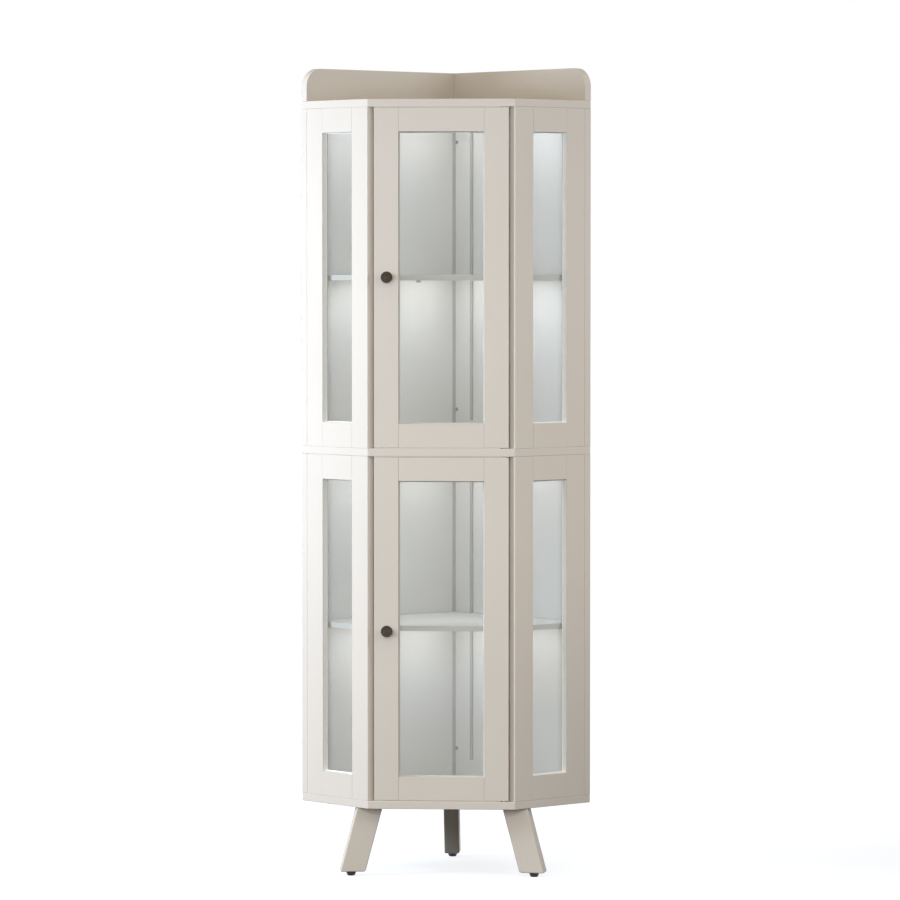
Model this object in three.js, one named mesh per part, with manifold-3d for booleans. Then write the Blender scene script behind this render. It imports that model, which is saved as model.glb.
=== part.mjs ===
// Corner curio cabinet: a five-sided glazed cabinet that stands in a room corner on three legs.
// Millimetres, +Z up, front towards -Y. Plan places are measured from the rear corner, where the
// two walls meet, and the finished group is shifted so that its origin lies under its middle.

import * as THREE from 'three';
import { mergeVertices } from 'three/addons/utils/BufferGeometryUtils.js';
import Module from 'manifold-3d';

const wasm = await Module();
wasm.setup();

// Footprint: each wall side, and how far the glazed side stands out from its wall
const wall_side = 388.6;
const side_depth = 192.8;
const panel_thickness = 15;

// Heights, from the floor up
const leg_height = 130;
const board_thickness = 15;
const lower_bay_height = 648;
const upper_bay_height = 639;
const gallery_height = 62;

// Clearances
const fit_gap = 0.3;
const running_gap = 0.1;
const door_end_gap = 1.6;
const latch_gap = 1.5;
const hinge_gap = 1.5;
const glass_edge_gap = 1;
const shelf_edge_gap = 2;
const shelf_front_gap = 6;
const catch_gap = 0.5;
const cut_overrun = 5;

// Frames and glass
const stile_width = 46;
const rail_width = 46;
const glass_setback = 10;
const glass_thickness = 4;
const rebate_lap = 8;

// Boards, gallery and shelves
const board_edge_round = 1.5;
const gallery_end_radius = 36;
const shelf_thickness = 10;

// Shelf pins
const shelf_pin_radius = 2.5;
const shelf_pin_depth = 8;
const shelf_pin_reach = 8;
const rear_pin_along = 110;

// Legs, set in from the side face and from the front corner, leaning outwards
const leg_top_width = 48.5;
const leg_foot_width = 48;
const leg_thickness = 29;
const leg_edge_round = 2;
const leg_lean = 32.5;
const front_leg_inset_side = 29.6;
const front_leg_inset_corner = 30.4;
const rear_leg_inset = 106;
const front_leg_turn = THREE.MathUtils.degToRad(10);

// Glides, set a little outwards of the middle of the foot
const glide_outset = 2;
const glide_radius = 9.5;
const glide_foot_radius = 7;
const glide_height = 8;
const glide_stem_radius = 3;
const glide_stem_length = 12;

// Leg bolts
const bolt_radius = 3;
const bolt_head_radius = 6.5;
const bolt_head_height = 4;
const bolt_reach = 30;

// Door pivots: a pin in the board, a flanged bushing in the door
const pivot_from_edge = 9;
const pivot_from_face = 6;
const pivot_radius = 2.5;
const pivot_depth = 6;
const pivot_reach = 8;
const collar_radius = 4.5;
const collar_height = 0.5;
const bushing_radius = 3.5;
const bushing_length = 10;

// Knobs
const knob_radius = 11;
const knob_projection = 22.5;
const knob_from_edge = 25;
const knob_height = 319;
const knob_profile_shares = [
  [0, 0],
  [0.6, 0],
  [0.6, 0.09],
  [0.4, 0.19],
  [0.38, 0.36],
  [0.55, 0.5],
  [0.9, 0.6],
  [1, 0.7],
  [1, 0.8],
  [0.84, 0.92],
  [0.5, 0.98],
  [0, 1],
];

// Magnetic catches and their strike plates
const catch_length = 46;
const catch_depth = 16;
const catch_height = 12;
const catch_from_edge = 45;
const strike_length = 40;
const strike_thickness = 1.2;
const strike_edge_inset = 1;

// Light bars, flush in the boards and shelves, and the wire channel on the right back wall
const light_bar_length = 140;
const light_bar_width = 12;
const light_bar_height = 4;
const light_bar_rear_inset = 182;
const lead_width = 4;
const lead_height = 2;
const channel_from_corner = 53;
const channel_width = 6;
const channel_depth = 3.5;
const channel_lift = 42;
const channel_notch_gap = 1.5;
const outlet_radius = 4;
const outlet_lift = 8;

// Facets of round pieces
const pin_sides = 24;
const knob_sides = 32;

// Worked-out places
const left = { name: 'left', sign: -1 };
const right = { name: 'right', sign: 1 };
const sides = [left, right];
const front_half_width = (wall_side - side_depth) * Math.SQRT1_2;
const front_line = -(wall_side + side_depth) * Math.SQRT1_2;
const frame_foot = panel_thickness + fit_gap;
const lower_floor = leg_height + board_thickness;
const lower_bay = { name: 'lower', floor: lower_floor, ceiling: lower_floor + lower_bay_height };
const upper_floor = lower_bay.ceiling + board_thickness;
const upper_bay = { name: 'upper', floor: upper_floor, ceiling: upper_floor + upper_bay_height };
const bays = [lower_bay, upper_bay];
const top_level = upper_bay.ceiling + board_thickness;
const frame_end_width = panel_thickness * Math.SQRT1_2;
const door_left = -front_half_width + frame_end_width + latch_gap;
const door_right = front_half_width - frame_end_width - hinge_gap;
const pivot_x = door_right - pivot_from_edge;
const pivot_y = front_line + pivot_from_face;
const bushing_flange = door_end_gap - collar_height - fit_gap;
const bore_radius = pivot_radius + running_gap;
const channel_along = panel_thickness + channel_from_corner;
const channel_face = panel_thickness + fit_gap + channel_depth;
const lead_x = channel_from_corner * Math.SQRT1_2;
const board_lead_end = panel_thickness + fit_gap;
const shelf_lead_end = channel_face + fit_gap;

// Finishes
const paint = { color: 0xddd5cb, roughness: 0.5, metalness: 0 };
const inner_paint = { color: 0xe2e2de, roughness: 0.55, metalness: 0 };
const glass = { color: 0xe6eeee, roughness: 0.05, metalness: 0, transparent: true, opacity: 0.3 };
const bronze = { color: 0x463f35, roughness: 0.4, metalness: 0.8 };
const black_plastic = { color: 0x141414, roughness: 0.6, metalness: 0 };
const steel = { color: 0xb8b8b6, roughness: 0.35, metalness: 1 };
const nylon = { color: 0xe9e7e0, roughness: 0.5, metalness: 0 };
const diffuser = { color: 0xf8f8f2, roughness: 0.6, metalness: 0 };

const cabinet = new THREE.Group();

function add(name, geometry, finish, x = 0, y = 0, z = 0) {
  const mesh = new THREE.Mesh(geometry, new THREE.MeshStandardMaterial(finish));
  mesh.name = name;
  mesh.position.set(x, y, z);
  cabinet.add(mesh);
}

// A plan point: along a wall from the rear corner, then square in from that wall
function onWall(sign, along, inward) {
  const x = sign * (along - inward) * Math.SQRT1_2;
  const y = -(along + inward) * Math.SQRT1_2;
  return new THREE.Vector2(x, y);
}

// Outer faces that frames lie in: a place across the face and a depth behind it give a plan point
const frontFace = (across, depth) => new THREE.Vector2(across, front_line + depth);
const sideFace = (sign) => (across, depth) => onWall(sign, wall_side - depth, across);
const wallFace = (sign) => (across, depth) => onWall(sign, across, depth);

function prism(outline, bottom, top) {
  const settings = { depth: top - bottom, bevelEnabled: false };
  return new THREE.ExtrudeGeometry(new THREE.Shape(outline), settings).translate(0, 0, bottom);
}

function block(face, across, depth, height) {
  const corners = [
    face(across[0], depth[0]),
    face(across[1], depth[0]),
    face(across[1], depth[1]),
    face(across[0], depth[1]),
  ];
  return prism(corners, height[0], height[1]);
}

const widened = (span, by) => [span[0] - by, span[1] + by];

function toManifold(geometry) {
  const bare = geometry.clone();
  bare.deleteAttribute('normal');
  bare.deleteAttribute('uv');
  const merged = mergeVertices(bare);
  const mesh = new wasm.Mesh({
    numProp: 3,
    vertProperties: new Float32Array(merged.attributes.position.array),
    triVerts: new Uint32Array(merged.index.array),
  });
  return new wasm.Manifold(mesh);
}

function toGeometry(manifold) {
  const mesh = manifold.getMesh();
  const geometry = new THREE.BufferGeometry();
  geometry.setAttribute('position', new THREE.BufferAttribute(mesh.vertProperties, mesh.numProp));
  geometry.setIndex(new THREE.BufferAttribute(mesh.triVerts, 1));
  geometry.computeVertexNormals();
  return geometry;
}

function cut(body, tools) {
  let result = toManifold(body);
  for (const tool of tools) {
    result = result.subtract(toManifold(tool));
  }
  return toGeometry(result);
}

const join = (first, second) => toGeometry(toManifold(first).add(toManifold(second)));

// A solid of revolution about +Z from pairs of radius and height
function turned(profile, facets) {
  const points = profile.map(([radius, height]) => new THREE.Vector2(radius, height));
  return new THREE.LatheGeometry(points, facets).rotateX(Math.PI / 2);
}

function rod(radius, bottom, top) {
  return turned([[0, bottom], [radius, bottom], [radius, top], [0, top]], pin_sides);
}

// A rod that runs square to a wall or side face, from one depth to another
function crossRod(face, across, depth, height, radius) {
  const start = face(across, depth[0]);
  const end = face(across, depth[1]);
  const run = new THREE.Vector3(end.x - start.x, end.y - start.y, 0);
  const turn = new THREE.Quaternion();
  turn.setFromUnitVectors(new THREE.Vector3(0, 0, 1), run.clone().normalize());
  const geometry = rod(radius, 0, run.length());
  geometry.applyQuaternion(turn);
  return geometry.translate(start.x, start.y, height);
}

// An outline drawn in width and height, standing upright along a plan direction
function upright(shape, origin, direction, depth, round = 0) {
  const settings = {
    depth: depth[1] - depth[0] - 2 * round,
    bevelEnabled: round > 0,
    bevelThickness: round,
    bevelSize: round,
    bevelOffset: -round,
    bevelSegments: 2,
    curveSegments: 12,
  };
  const along = new THREE.Vector3(direction.x, direction.y, 0).normalize();
  const up = new THREE.Vector3(0, 0, 1);
  const basis = new THREE.Matrix4().makeBasis(along, up, along.clone().cross(up));
  const geometry = new THREE.ExtrudeGeometry(shape, settings).translate(0, 0, depth[0] + round);
  return geometry.applyMatrix4(basis).translate(origin.x, origin.y, 0);
}

// Boards

function boardOutline() {
  return [
    onWall(left.sign, 0, 0),
    onWall(left.sign, wall_side, 0),
    onWall(left.sign, wall_side, side_depth),
    onWall(right.sign, wall_side, side_depth),
    onWall(right.sign, wall_side, 0),
  ];
}

function board(bottom) {
  const settings = {
    depth: board_thickness - 2 * board_edge_round,
    bevelThickness: board_edge_round,
    bevelSize: board_edge_round,
    bevelOffset: -board_edge_round,
    bevelSegments: 2,
  };
  const geometry = new THREE.ExtrudeGeometry(new THREE.Shape(boardOutline()), settings);
  return geometry.translate(0, 0, bottom + board_edge_round);
}

const pivot_hole_depth = pivot_depth + fit_gap;

function pinHoleAbove(level) {
  return rod(pivot_radius + fit_gap, level - pivot_hole_depth, level + cut_overrun)
    .translate(pivot_x, pivot_y, 0);
}

function pinHoleBelow(level) {
  return rod(pivot_radius + fit_gap, level - cut_overrun, level + pivot_hole_depth)
    .translate(pivot_x, pivot_y, 0);
}

// Legs: the top centre of each in plan, and the direction it leans in

const frontLegPlace = (sign) => onWall(
  sign,
  wall_side - front_leg_inset_side,
  side_depth - front_leg_inset_corner,
);
const frontLegLean = (sign) => new THREE.Vector2(
  sign * Math.cos(front_leg_turn),
  -Math.sin(front_leg_turn),
);
const legs = [
  { name: 'front_left', place: frontLegPlace(left.sign), lean: frontLegLean(left.sign) },
  { name: 'front_right', place: frontLegPlace(right.sign), lean: frontLegLean(right.sign) },
  { name: 'rear', place: new THREE.Vector2(0, -rear_leg_inset), lean: new THREE.Vector2(0, 1) },
];

function glidePlace(leg) {
  return leg.place.clone().addScaledVector(leg.lean, leg_lean + glide_outset);
}

function legSolid(leg) {
  const side_view = new THREE.Shape([
    new THREE.Vector2(-leg_top_width / 2, leg_height),
    new THREE.Vector2(leg_lean - leg_foot_width / 2, glide_height),
    new THREE.Vector2(leg_lean + leg_foot_width / 2, glide_height),
    new THREE.Vector2(leg_top_width / 2, leg_height),
  ]);
  const thickness = [-leg_thickness / 2, leg_thickness / 2];
  const blank = upright(side_view, leg.place, leg.lean, thickness, leg_edge_round);
  const glide_place = glidePlace(leg);
  const stem_hole_top = glide_height + glide_stem_length + fit_gap;
  const stem_hole = rod(glide_stem_radius + fit_gap, glide_height - cut_overrun, stem_hole_top)
    .translate(glide_place.x, glide_place.y, 0);
  const bolt_hole_bottom = leg_height - bolt_reach - fit_gap;
  const bolt_hole = rod(bolt_radius + fit_gap, bolt_hole_bottom, leg_height + cut_overrun)
    .translate(leg.place.x, leg.place.y, 0);
  return cut(blank, [stem_hole, bolt_hole]);
}

function glide() {
  return turned([
    [0, 0],
    [glide_foot_radius, 0],
    [glide_radius, glide_height],
    [glide_stem_radius, glide_height],
    [glide_stem_radius, glide_height + glide_stem_length],
    [0, glide_height + glide_stem_length],
  ], pin_sides);
}

function legBolt() {
  const seat = board_thickness + bolt_reach;
  return turned([
    [0, 0],
    [bolt_radius, 0],
    [bolt_radius, seat],
    [bolt_head_radius, seat],
    [bolt_head_radius, seat + bolt_head_height],
    [0, seat + bolt_head_height],
  ], pin_sides);
}

for (const leg of legs) {
  const glide_place = glidePlace(leg);
  add(`${leg.name}_leg`, legSolid(leg), paint);
  add(`${leg.name}_glide`, glide(), black_plastic, glide_place.x, glide_place.y);
  add(`${leg.name}_leg_bolt`, legBolt(), steel, leg.place.x, leg.place.y, leg_height - bolt_reach);
}

// The three boards, bored for the door pins and the leg bolts and grooved for the light bars

function boltHole(leg) {
  return rod(bolt_radius + fit_gap, leg_height - cut_overrun, lower_bay.floor + cut_overrun)
    .translate(leg.place.x, leg.place.y, 0);
}

const bottom_holes = [pinHoleAbove(lower_bay.floor), ...legs.map(boltHole)];
const middle_holes = [
  pinHoleBelow(lower_bay.ceiling),
  pinHoleAbove(upper_bay.floor),
  lightBar(lower_bay.ceiling, board_lead_end, fit_gap),
];
const top_holes = [
  pinHoleBelow(upper_bay.ceiling),
  lightBar(upper_bay.ceiling, board_lead_end, fit_gap),
];
add('bottom_board', cut(board(leg_height), bottom_holes), paint);
add('middle_board', cut(board(lower_bay.ceiling), middle_holes), paint);
add('top_board', cut(board(upper_bay.ceiling), top_holes), paint);

// Shelf pins: one in each back panel, one in the door-side stile of each side frame

const shelfBottom = (bay) => (bay.floor + bay.ceiling - shelf_thickness) / 2;
const shelfPinLevel = (bay) => shelfBottom(bay) - fit_gap - shelf_pin_radius;
const front_pin_across = side_depth - stile_width / 2;
const pin_hole_radius = shelf_pin_radius + fit_gap;
const pin_hole_span = [panel_thickness - shelf_pin_depth - fit_gap, panel_thickness + cut_overrun];
const pin_span = [panel_thickness - shelf_pin_depth, panel_thickness + shelf_pin_reach];

// Back panels

function backPanel(side, bay) {
  const start = side === left ? 0 : frame_foot;
  const height = [bay.floor, bay.ceiling];
  const face = wallFace(side.sign);
  const blank = block(face, [start, wall_side], [0, panel_thickness], height);
  const pin_level = shelfPinLevel(bay);
  const cutters = [crossRod(face, rear_pin_along, pin_hole_span, pin_level, pin_hole_radius)];
  if (side === right) {
    const outlet_span = [-cut_overrun, panel_thickness + cut_overrun];
    const outlet_level = bay.floor + channel_lift + outlet_lift;
    cutters.push(crossRod(face, channel_along, outlet_span, outlet_level, outlet_radius));
  }
  return cut(blank, cutters);
}

// Glazed frames

const windowHeight = (bay) => [bay.floor + rail_width, bay.ceiling - rail_width];

function glazedFrame(face, across, height, pane_across, pane_height) {
  const through = [-cut_overrun, panel_thickness + cut_overrun];
  const behind_glass = [glass_setback, panel_thickness + cut_overrun];
  const blank = block(face, across, [0, panel_thickness], height);
  const opening = block(face, pane_across, through, pane_height);
  const rebate_across = widened(pane_across, rebate_lap);
  const rebate_height = widened(pane_height, rebate_lap);
  const rebate = block(face, rebate_across, behind_glass, rebate_height);
  return cut(blank, [opening, rebate]);
}

function pane(face, pane_across, pane_height) {
  const lap = rebate_lap - glass_edge_gap;
  const front = glass_setback + fit_gap;
  const depth = [front, front + glass_thickness];
  return block(face, widened(pane_across, lap), depth, widened(pane_height, lap));
}

const side_window = [frame_foot + stile_width, side_depth - stile_width];

function sideFrame(side, bay) {
  const face = sideFace(side.sign);
  const height = [bay.floor, bay.ceiling];
  const frame = glazedFrame(face, [frame_foot, side_depth], height, side_window, windowHeight(bay));
  const pin_level = shelfPinLevel(bay);
  const hole = crossRod(face, front_pin_across, pin_hole_span, pin_level, pin_hole_radius);
  return cut(frame, [hole]);
}

// Shelves, notched round the wire channel and grooved for their light bars

function shelf(bay) {
  const wall_gap = panel_thickness + shelf_edge_gap;
  const side_edge = wall_side - wall_gap;
  const front_edge = -front_line - panel_thickness - shelf_front_gap;
  const front_corner = front_edge / Math.SQRT1_2 - side_edge;
  const outline = [
    onWall(left.sign, wall_gap, wall_gap),
    onWall(left.sign, side_edge, wall_gap),
    onWall(left.sign, side_edge, front_corner),
    onWall(right.sign, side_edge, front_corner),
    onWall(right.sign, side_edge, wall_gap),
  ];
  const bottom = shelfBottom(bay);
  const top = bottom + shelf_thickness;
  const half_notch = channel_width / 2 + channel_notch_gap;
  const notch_across = [channel_along - half_notch, channel_along + half_notch];
  const notch_depth = [0, panel_thickness + fit_gap + channel_depth + channel_notch_gap];
  const notch_height = widened([bottom, top], cut_overrun);
  const notch = block(wallFace(right.sign), notch_across, notch_depth, notch_height);
  const groove = lightBar(bottom, shelf_lead_end, fit_gap);
  return cut(prism(outline, bottom, top), [notch, groove]);
}

// Light bar: it lies flush in a groove, and its flat lead runs back to the wire channel, where it
// ends at a given distance from the wall. Grown by a gap, the same shape cuts the groove.

function lightBar(underside, lead_end, gap = 0) {
  const half_length = light_bar_length / 2 + gap;
  const bar_front = -light_bar_rear_inset - light_bar_width / 2 - gap;
  const bar_back = -light_bar_rear_inset + light_bar_width / 2 + gap;
  const bar_outline = [
    new THREE.Vector2(-half_length, bar_front),
    new THREE.Vector2(half_length, bar_front),
    new THREE.Vector2(half_length, bar_back),
    new THREE.Vector2(-half_length, bar_back),
  ];
  const lead_left = lead_x - lead_width / 2 - gap;
  const lead_right = lead_x + lead_width / 2 + gap;
  const wall_clear = (lead_end - gap) / Math.SQRT1_2;
  const lead_outline = [
    new THREE.Vector2(lead_left, -light_bar_rear_inset),
    new THREE.Vector2(lead_right, -light_bar_rear_inset),
    new THREE.Vector2(lead_right, -lead_right - wall_clear),
    new THREE.Vector2(lead_left, -lead_left - wall_clear),
  ];
  const bottom = gap > 0 ? underside - cut_overrun : underside;
  const bar = prism(bar_outline, bottom, underside + light_bar_height + gap);
  const lead = prism(lead_outline, bottom, underside + lead_height + gap);
  return join(bar, lead);
}

function wireChannel(bay) {
  const half = channel_width / 2;
  const across = [channel_along - half, channel_along + half];
  const depth = [panel_thickness + fit_gap, channel_face];
  const height = [bay.floor + channel_lift, bay.ceiling - fit_gap];
  return block(wallFace(right.sign), across, depth, height);
}

for (const bay of bays) {
  for (const side of sides) {
    const tag = `${bay.name}_${side.name}`;
    const wall = wallFace(side.sign);
    const flank = sideFace(side.sign);
    const level = shelfPinLevel(bay);
    add(`${tag}_back_panel`, backPanel(side, bay), inner_paint);
    add(`${tag}_side_frame`, sideFrame(side, bay), paint);
    add(`${tag}_side_glass`, pane(flank, side_window, windowHeight(bay)), glass);
    const rear_pin = crossRod(wall, rear_pin_along, pin_span, level, shelf_pin_radius);
    const front_pin = crossRod(flank, front_pin_across, pin_span, level, shelf_pin_radius);
    add(`${tag}_rear_shelf_pin`, rear_pin, steel);
    add(`${tag}_front_shelf_pin`, front_pin, steel);
  }
  add(`${bay.name}_shelf`, shelf(bay), inner_paint);
  add(`${bay.name}_ceiling_light_bar`, lightBar(bay.ceiling, board_lead_end), diffuser);
  add(`${bay.name}_shelf_light_bar`, lightBar(shelfBottom(bay), shelf_lead_end), diffuser);
  add(`${bay.name}_wire_channel`, wireChannel(bay), nylon);
}

// Gallery rails on the top board, rounded down at the open end

function galleryRail(side) {
  const start = side === left ? 0 : frame_foot;
  const top = top_level + gallery_height;
  const arc_along = wall_side - gallery_end_radius;
  const arc_level = top - gallery_end_radius;
  const outline = new THREE.Shape();
  outline.moveTo(start, top_level);
  outline.lineTo(wall_side, top_level);
  outline.lineTo(wall_side, arc_level);
  outline.absarc(arc_along, arc_level, gallery_end_radius, 0, Math.PI / 2);
  outline.lineTo(start, top);
  const corner = onWall(side.sign, 0, 0);
  const depth = side === left ? [-panel_thickness, 0] : [0, panel_thickness];
  return upright(outline, corner, onWall(side.sign, wall_side, 0), depth);
}

for (const side of sides) {
  add(`${side.name}_gallery_rail`, galleryRail(side), paint);
}

// Doors

const door_window = [door_left + stile_width, door_right - stile_width];

function doorHeight(bay) {
  return [bay.floor + door_end_gap, bay.ceiling - door_end_gap];
}

function doorFrame(bay) {
  const [bottom, top] = doorHeight(bay);
  const across = [door_left, door_right];
  const frame = glazedFrame(frontFace, across, [bottom, top], door_window, windowHeight(bay));
  const hole_radius = bushing_radius + fit_gap;
  const hole_depth = bushing_length + fit_gap;
  const lower_hole = rod(hole_radius, bottom - cut_overrun, bottom + hole_depth);
  const upper_hole = rod(hole_radius, top - hole_depth, top + cut_overrun);
  return cut(frame, [
    lower_hole.translate(pivot_x, pivot_y, 0),
    upper_hole.translate(pivot_x, pivot_y, 0),
  ]);
}

// The pin seats by its collar on the board at height zero and points up into the door
function pivotPin() {
  return turned([
    [0, -pivot_depth],
    [pivot_radius, -pivot_depth],
    [pivot_radius, 0],
    [collar_radius, 0],
    [collar_radius, collar_height],
    [pivot_radius, collar_height],
    [pivot_radius, door_end_gap + pivot_reach],
    [0, door_end_gap + pivot_reach],
  ], pin_sides);
}

// The bushing hangs its flange under the door edge, which lies at height zero
function bushing() {
  return turned([
    [bore_radius, -bushing_flange],
    [collar_radius, -bushing_flange],
    [collar_radius, 0],
    [bushing_radius, 0],
    [bushing_radius, bushing_length],
    [bore_radius, bushing_length],
    [bore_radius, -bushing_flange],
  ], pin_sides);
}

const flipped = (geometry) => geometry.rotateX(Math.PI);

const knob_x = door_left + knob_from_edge;
const knob_seat_y = front_line - fit_gap;

function knob() {
  const profile = knob_profile_shares.map(([r, h]) => [r * knob_radius, h * knob_projection]);
  return turned(profile, knob_sides).rotateX(Math.PI / 2);
}

function magneticCatch(bay) {
  const centre = door_left + catch_from_edge;
  const front = panel_thickness + fit_gap + strike_thickness + catch_gap;
  const across = [centre - catch_length / 2, centre + catch_length / 2];
  const height = [bay.ceiling - catch_height, bay.ceiling];
  return block(frontFace, across, [front, front + catch_depth], height);
}

function strikePlate(bay) {
  const centre = door_left + catch_from_edge;
  const back = panel_thickness + fit_gap;
  const across = [centre - strike_length / 2, centre + strike_length / 2];
  const height = [bay.ceiling - catch_height, doorHeight(bay)[1] - strike_edge_inset];
  return block(frontFace, across, [back, back + strike_thickness], height);
}

for (const bay of bays) {
  const [bottom, top] = doorHeight(bay);
  add(`${bay.name}_door_frame`, doorFrame(bay), paint);
  add(`${bay.name}_door_glass`, pane(frontFace, door_window, windowHeight(bay)), glass);
  add(`${bay.name}_knob`, knob(), bronze, knob_x, knob_seat_y, bottom + knob_height);
  add(`${bay.name}_bottom_pivot_pin`, pivotPin(), steel, pivot_x, pivot_y, bay.floor);
  add(`${bay.name}_top_pivot_pin`, flipped(pivotPin()), steel, pivot_x, pivot_y, bay.ceiling);
  add(`${bay.name}_bottom_bushing`, bushing(), nylon, pivot_x, pivot_y, bottom);
  add(`${bay.name}_top_bushing`, flipped(bushing()), nylon, pivot_x, pivot_y, top);
  add(`${bay.name}_magnetic_catch`, magneticCatch(bay), nylon);
  add(`${bay.name}_strike_plate`, strikePlate(bay), steel);
}

// The origin lies on the floor under the middle of the whole cabinet, knobs included
cabinet.position.y = (-front_line + fit_gap + knob_projection) / 2;
const group = new THREE.Group();
group.add(cabinet);

export default group;
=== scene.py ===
import math

import bmesh
import bpy
from mathutils import Matrix, Vector


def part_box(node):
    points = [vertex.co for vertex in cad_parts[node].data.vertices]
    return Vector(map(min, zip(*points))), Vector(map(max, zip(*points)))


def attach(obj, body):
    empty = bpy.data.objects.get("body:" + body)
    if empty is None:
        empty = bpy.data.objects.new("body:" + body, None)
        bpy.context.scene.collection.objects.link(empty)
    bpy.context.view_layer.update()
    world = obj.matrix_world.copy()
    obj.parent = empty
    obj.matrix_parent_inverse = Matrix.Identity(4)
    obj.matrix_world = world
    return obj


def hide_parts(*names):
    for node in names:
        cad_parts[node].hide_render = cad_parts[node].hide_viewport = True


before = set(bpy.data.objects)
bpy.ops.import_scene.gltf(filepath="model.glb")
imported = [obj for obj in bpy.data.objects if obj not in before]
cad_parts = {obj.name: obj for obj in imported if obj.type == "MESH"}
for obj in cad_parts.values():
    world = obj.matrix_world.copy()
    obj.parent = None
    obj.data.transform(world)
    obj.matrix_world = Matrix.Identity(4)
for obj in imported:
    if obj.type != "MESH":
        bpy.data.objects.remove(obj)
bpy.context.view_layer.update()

# Corner curio cabinet: all sizes in metres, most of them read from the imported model

mm = 0.001
square_half = math.sqrt(0.5)
bays = ("lower", "upper")
sides = {"left": -1, "right": 1}

# Footprint and board levels
board_low, board_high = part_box("top_board")
rear_line = board_high.y
front_line = board_low.y
wall_side = board_high.x / square_half
side_depth = (rear_line - front_line) / square_half - wall_side
bay_floor = {"lower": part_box("bottom_board")[1].z, "upper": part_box("middle_board")[1].z}
bay_ceiling = {"lower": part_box("middle_board")[0].z, "upper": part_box("top_board")[0].z}

# Frames and glass
door_low, door_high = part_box("upper_door_frame")
panel_thickness = door_high.y - door_low.y
glass_lap = 7 * mm
frame_bar_width = 46 * mm
frame_wall_gap = 0.3 * mm
frame_foot = panel_thickness + frame_wall_gap
joint_half_gap = 0.1 * mm

# Edge roundings
board_round = 1.2 * mm
frame_round = 0.7 * mm
panel_round = 1.2 * mm
gallery_round = 1.8 * mm
plastic_round = 0.6 * mm
dust_strip_round = 0.3 * mm
leg_round = 2.4 * mm
leg_toe_round = 4 * mm
leg_toe_steps = 5
corner_valley_round = 3 * mm
corner_valley_steps = 6
round_steps = 4
thin_round_steps = 3

# Painted edging on the outer ends of the back panels, and the bands on the shelf edges
edging_thickness = 1 * mm
shelf_side_gap = 2 * mm

# Glazing strips on the inner side of every window, held by small pins
strip_width = 10 * mm
strip_thickness = 1.2 * mm
strip_pin_radius = 2 * mm
strip_pin_height = 0.6 * mm
strip_pin_share = (0.12, 0.38, 0.66, 0.9)

# Beads of sealant on the outer side of the panes: low in the doors; at the sides a near-white one
# up the whole reveal, painted light over the reveal's shade
glazing_bead_width = 2.2 * mm
glazing_bead_height = 3.2 * mm
glazing_bead_clearance = 0.05 * mm
side_bead_inset = 0.9 * mm

# Dust strips round the doors: pale ones over and under, lighter than the paint as painted light
# that fills the gaps' shade; grey ones beside and behind
dust_strip_height = 1.2 * mm
dust_strip_depth = (0.5 * mm, 4 * mm)
dust_strip_from_pivot = 6 * mm
latch_strip_across = (3 * mm, 6.8 * mm)
latch_strip_depth = (15.5 * mm, 17 * mm)
hinge_strip_across = (1 * mm, 10 * mm)
hinge_strip_depth = (19.8 * mm, 20.7 * mm)

# Screw heads: a recess is given as its radius and depth
head_brim_share = 0.6
head_steps = 48
recess_floor_share = 0.98
recess_wall_shares = (0.9, 1.01)
recess_waist = 0.3
cross_arms = 4
six_flats = 6

# Knobs: a foot on the door, a waist and a round head with a fine ring in its crown
knob_radius = 11 * mm
knob_foot_radius = 6.8 * mm
knob_foot_height = 2.2 * mm
knob_foot_round = 0.6 * mm
knob_waist_radius = 4.3 * mm
knob_waist_fillet = 2 * mm
knob_neck_fillet = 3 * mm
knob_neck_drop = 3.4 * mm
knob_edge_round = 3 * mm
knob_crown = 2.6 * mm
knob_crown_rim = 0.86
knob_crown_outer = (0.97, 0.9, 0.8)
knob_crown_inner = (0.6, 0.45, 0.3, 0.15)
knob_ring_radius = 7.6 * mm
knob_ring_depth = 0.35 * mm
knob_screw_radius = 4 * mm
knob_screw_height = 2.2 * mm
knob_screw_recess = (2.4 * mm, 1.2 * mm)

# Legs, glides and leg bolts
leg_top_width = 48.5 * mm
leg_foot_width = 48 * mm
leg_thickness = 29 * mm
glide_outset = 2 * mm
glide_foot_radius = 7 * mm
glide_foot_round = 1.2 * mm
glide_radius = 9.5 * mm
glide_taper = 0.5 * mm
glide_stem_radius = 3 * mm
glide_lip = 1.5 * mm
glide_steps = 48
leg_bolt_recess = (3.4 * mm, 2.4 * mm)
leg_bolt_shank_radius = 3 * mm
leg_bolt_shank_steps = 24
leg_bolt_gap = 0.02 * mm

# Catches: a body with two poles in its face
catch_setback = 0.4 * mm
catch_round = 1.5 * mm
catch_pole_shares = (0.32, 0.6)
catch_pole_inset = 5 * mm
catch_pole_depth = 4 * mm
catch_pole_thickness = 1.5 * mm
catch_pole_round = 0.2 * mm
strike_plate_round = 0.4 * mm

# Light bars
bar_length = 140 * mm
bar_width = 12 * mm
lens_height = 1.8 * mm
lens_inset = 1 * mm
lens_round = 0.6 * mm
lead_gap = 0.05 * mm

# Bead and screws in the rear corner; the grey bead is painted shade along the corner line
corner_bead_reach = 4.5 * mm
corner_bead_clearance = 0.1 * mm
corner_bead_hollow_share = 0.36
corner_bead_shares = (0.3, 0.5, 0.7)
corner_screw_from_corner = 8 * mm
corner_screw_radius = 3.6 * mm
corner_screw_height = 1.4 * mm
corner_screw_recess = (2.2 * mm, 0.9 * mm)
corner_screw_lift = 62 * mm
corner_screw_drop = 57 * mm

# Round pieces
turn_steps = 64
pin_steps = 16
weld = 0.00001
flat_angle = math.radians(1)
crease_angle = math.radians(25)
smooth_limit = math.radians(40)
least_edge = 4 * mm
gallery_least_edge = 3 * mm
channel_least_edge = 2 * mm

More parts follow.
